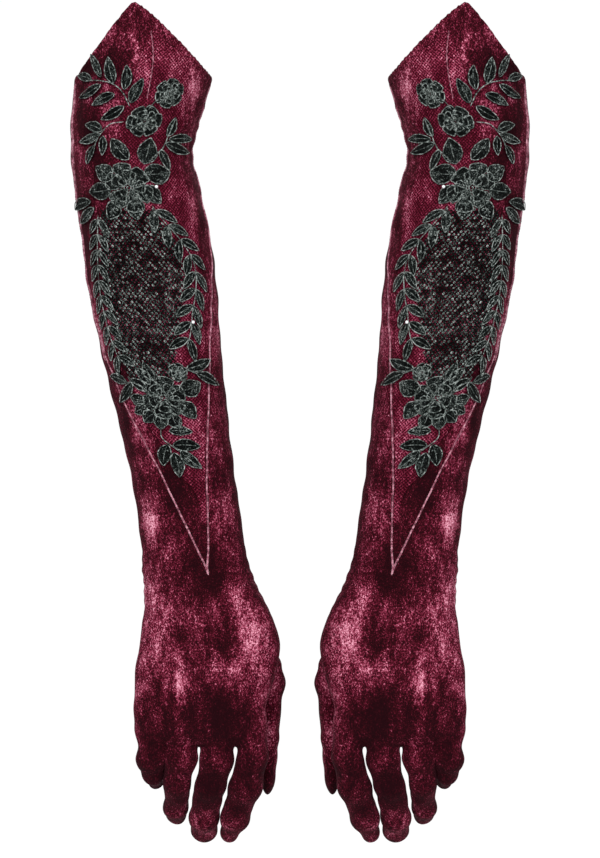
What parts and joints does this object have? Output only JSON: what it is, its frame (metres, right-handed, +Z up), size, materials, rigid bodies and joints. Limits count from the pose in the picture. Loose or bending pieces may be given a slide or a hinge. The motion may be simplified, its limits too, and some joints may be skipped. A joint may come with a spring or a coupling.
{
  "type": "opera glove pair",
  "caption": "Pair of long fitted gloves reaching past the elbow, with a pointed top edge, a long pointed lace-covered arm panel, and joints at elbow, wrist, thumb and fingers.",
  "frame": {"origin": "centre of the right glove's arm opening, at the level of the top edge's two side corners", "axes": "+Z up the hanging arm from fingertips to shoulder; -Y out of the back of the hand, which carries the lace; +X from the right glove to the left glove"},
  "size_m": [0.2543, 0.0755, 0.4658],
  "materials": {
    "velvet": "matte",
    "seam": "satin",
    "netting": "matte",
    "lace": "satin",
    "bead": "gloss"
  },
  "bodies": {
    "right_upper": {"right_upper_lace_panel": "velvet", "right_upper_sleeve": "velvet", "right_upper_hem": "velvet", "right_upper_net": "netting", "right_upper_lace_spray": "lace"},
    "right_forearm": {"right_lace_panel": "velvet", "right_thumb_side_panel": "velvet", "right_outer_side_panel": "velvet", "right_lace_panel_left_seam": "seam", "right_lace_panel_right_seam": "seam", "right_lace_net": "netting", "right_rose_cluster": "lace", "right_lattice_medallion": "lace", "right_lower_lace_spray": "lace", "right_bead_1": "bead", "right_bead_2": "bead"},
    "right_hand": {"right_hand_back": "velvet", "right_hand_palm": "velvet", "right_thumb_gusset": "velvet"},
    "right_thumb_base": {"right_thumb_base": "velvet"},
    "right_thumb_tip": {"right_thumb_tip": "velvet"},
    "right_index_base": {"right_index_base": "velvet"},
    "right_index_tip": {"right_index_tip": "velvet"},
    "right_middle_base": {"right_middle_base": "velvet"},
    "right_middle_tip": {"right_middle_tip": "velvet"},
    "right_ring_base": {"right_ring_base": "velvet"},
    "right_ring_tip": {"right_ring_tip": "velvet"},
    "right_little_base": {"right_little_base": "velvet"},
    "right_little_tip": {"right_little_tip": "velvet"},
    "left_upper": {"left_upper_lace_panel": "velvet", "left_upper_sleeve": "velvet", "left_upper_hem": "velvet", "left_upper_net": "netting", "left_upper_lace_spray": "lace"},
    "left_forearm": {"left_lace_panel": "velvet", "left_thumb_side_panel": "velvet", "left_outer_side_panel": "velvet", "left_lace_panel_left_seam": "seam", "left_lace_panel_right_seam": "seam", "left_lace_net": "netting", "left_rose_cluster": "lace", "left_lattice_medallion": "lace", "left_lower_lace_spray": "lace", "left_bead_1": "bead", "left_bead_2": "bead"},
    "left_hand": {"left_hand_back": "velvet", "left_hand_palm": "velvet", "left_thumb_gusset": "velvet"},
    "left_thumb_base": {"left_thumb_base": "velvet"},
    "left_thumb_tip": {"left_thumb_tip": "velvet"},
    "left_index_base": {"left_index_base": "velvet"},
    "left_index_tip": {"left_index_tip": "velvet"},
    "left_middle_base": {"left_middle_base": "velvet"},
    "left_middle_tip": {"left_middle_tip": "velvet"},
    "left_ring_base": {"left_ring_base": "velvet"},
    "left_ring_tip": {"left_ring_tip": "velvet"},
    "left_little_base": {"left_little_base": "velvet"},
    "left_little_tip": {"left_little_tip": "velvet"}
  },
  "joints": [
    {"name": "right_elbow_bend", "type": "hinge", "parent": "right_upper", "child": "right_forearm", "pos_m": [-0.0053, 0, -0.033], "axis": [1, 0, 0], "range_deg": [0, 60]},
    {"name": "right_wrist_bend", "type": "hinge", "parent": "right_forearm", "child": "right_hand", "pos_m": [0.0312, 0, -0.267], "axis": [1, 0, 0], "range_deg": [-35, 45]},
    {"name": "right_thumb_swing", "type": "hinge", "parent": "right_hand", "child": "right_thumb_base", "pos_m": [0.0703, 0.017, -0.3165], "axis": [1, 0, 0], "range_deg": [0, 40]},
    {"name": "right_thumb_bend", "type": "hinge", "parent": "right_thumb_base", "child": "right_thumb_tip", "pos_m": [0.0728, 0.021, -0.361], "axis": [1, 0, 0], "range_deg": [-10, 45]},
    {"name": "right_index_knuckle_bend", "type": "hinge", "parent": "right_hand", "child": "right_index_base", "pos_m": [0.0609, 0, -0.37], "axis": [1, 0, 0], "range_deg": [-10, 50]},
    {"name": "right_index_middle_bend", "type": "hinge", "parent": "right_index_base", "child": "right_index_tip", "pos_m": [0.0594, 0.00453, -0.3869], "axis": [1, 0, 0], "range_deg": [-10, 50]},
    {"name": "right_middle_knuckle_bend", "type": "hinge", "parent": "right_hand", "child": "right_middle_base", "pos_m": [0.0424, 0, -0.37], "axis": [1, 0, 0], "range_deg": [-10, 50]},
    {"name": "right_middle_middle_bend", "type": "hinge", "parent": "right_middle_base", "child": "right_middle_tip", "pos_m": [0.0383, 0.0051, -0.38569], "axis": [1, 0, 0], "range_deg": [-10, 50]},
    {"name": "right_ring_knuckle_bend", "type": "hinge", "parent": "right_hand", "child": "right_ring_base", "pos_m": [0.0225, 0, -0.37], "axis": [1, 0, 0], "range_deg": [-12, 45]},
    {"name": "right_ring_middle_bend", "type": "hinge", "parent": "right_ring_base", "child": "right_ring_tip", "pos_m": [0.0203, 0.00562, -0.38391], "axis": [1, 0, 0], "range_deg": [-12, 45]},
    {"name": "right_little_knuckle_bend", "type": "hinge", "parent": "right_hand", "child": "right_little_base", "pos_m": [0.0051, 0, -0.37], "axis": [1, 0, 0], "range_deg": [-20, 30]},
    {"name": "right_little_middle_bend", "type": "hinge", "parent": "right_little_base", "child": "right_little_tip", "pos_m": [0.0058, 0.00707, -0.37843], "axis": [1, 0, 0], "range_deg": [-20, 30]},
    {"name": "left_elbow_bend", "type": "hinge", "parent": "left_upper", "child": "left_forearm", "pos_m": [0.1818, 0, -0.033], "axis": [1, 0, 0], "range_deg": [0, 60]},
    {"name": "left_wrist_bend", "type": "hinge", "parent": "left_forearm", "child": "left_hand", "pos_m": [0.1453, 0, -0.267], "axis": [1, 0, 0], "range_deg": [-35, 45]},
    {"name": "left_thumb_swing", "type": "hinge", "parent": "left_hand", "child": "left_thumb_base", "pos_m": [0.1062, 0.017, -0.3165], "axis": [1, 0, 0], "range_deg": [0, 40]},
    {"name": "left_thumb_bend", "type": "hinge", "parent": "left_thumb_base", "child": "left_thumb_tip", "pos_m": [0.1037, 0.021, -0.361], "axis": [1, 0, 0], "range_deg": [-10, 45]},
    {"name": "left_index_knuckle_bend", "type": "hinge", "parent": "left_hand", "child": "left_index_base", "pos_m": [0.1156, 0, -0.37], "axis": [1, 0, 0], "range_deg": [-10, 50]},
    {"name": "left_index_middle_bend", "type": "hinge", "parent": "left_index_base", "child": "left_index_tip", "pos_m": [0.1171, 0.00453, -0.3869], "axis": [1, 0, 0], "range_deg": [-10, 50]},
    {"name": "left_middle_knuckle_bend", "type": "hinge", "parent": "left_hand", "child": "left_middle_base", "pos_m": [0.1341, 0, -0.37], "axis": [1, 0, 0], "range_deg": [-10, 50]},
    {"name": "left_middle_middle_bend", "type": "hinge", "parent": "left_middle_base", "child": "left_middle_tip", "pos_m": [0.1382, 0.0051, -0.38569], "axis": [1, 0, 0], "range_deg": [-10, 50]},
    {"name": "left_ring_knuckle_bend", "type": "hinge", "parent": "left_hand", "child": "left_ring_base", "pos_m": [0.154, 0, -0.37], "axis": [1, 0, 0], "range_deg": [-12, 45]},
    {"name": "left_ring_middle_bend", "type": "hinge", "parent": "left_ring_base", "child": "left_ring_tip", "pos_m": [0.1562, 0.00562, -0.38391], "axis": [1, 0, 0], "range_deg": [-12, 45]},
    {"name": "left_little_knuckle_bend", "type": "hinge", "parent": "left_hand", "child": "left_little_base", "pos_m": [0.1714, 0, -0.37], "axis": [1, 0, 0], "range_deg": [-20, 30]},
    {"name": "left_little_middle_bend", "type": "hinge", "parent": "left_little_base", "child": "left_little_tip", "pos_m": [0.1707, 0.00707, -0.37843], "axis": [1, 0, 0], "range_deg": [-20, 30]},
    {"name": "pair_spacing", "type": "slide", "parent": "right_upper", "child": "left_upper", "axis": [1, 0, 0], "range_m": [0, 0.1]}
  ],
  "couplings": [
    {"joint": "right_index_middle_bend", "follows": "right_index_knuckle_bend", "ratio": 1},
    {"joint": "right_middle_middle_bend", "follows": "right_middle_knuckle_bend", "ratio": 1},
    {"joint": "right_ring_middle_bend", "follows": "right_ring_knuckle_bend", "ratio": 1},
    {"joint": "right_little_middle_bend", "follows": "right_little_knuckle_bend", "ratio": 1},
    {"joint": "left_index_middle_bend", "follows": "left_index_knuckle_bend", "ratio": 1},
    {"joint": "left_middle_middle_bend", "follows": "left_middle_knuckle_bend", "ratio": 1},
    {"joint": "left_ring_middle_bend", "follows": "left_ring_knuckle_bend", "ratio": 1},
    {"joint": "left_little_middle_bend", "follows": "left_little_knuckle_bend", "ratio": 1}
  ]
}
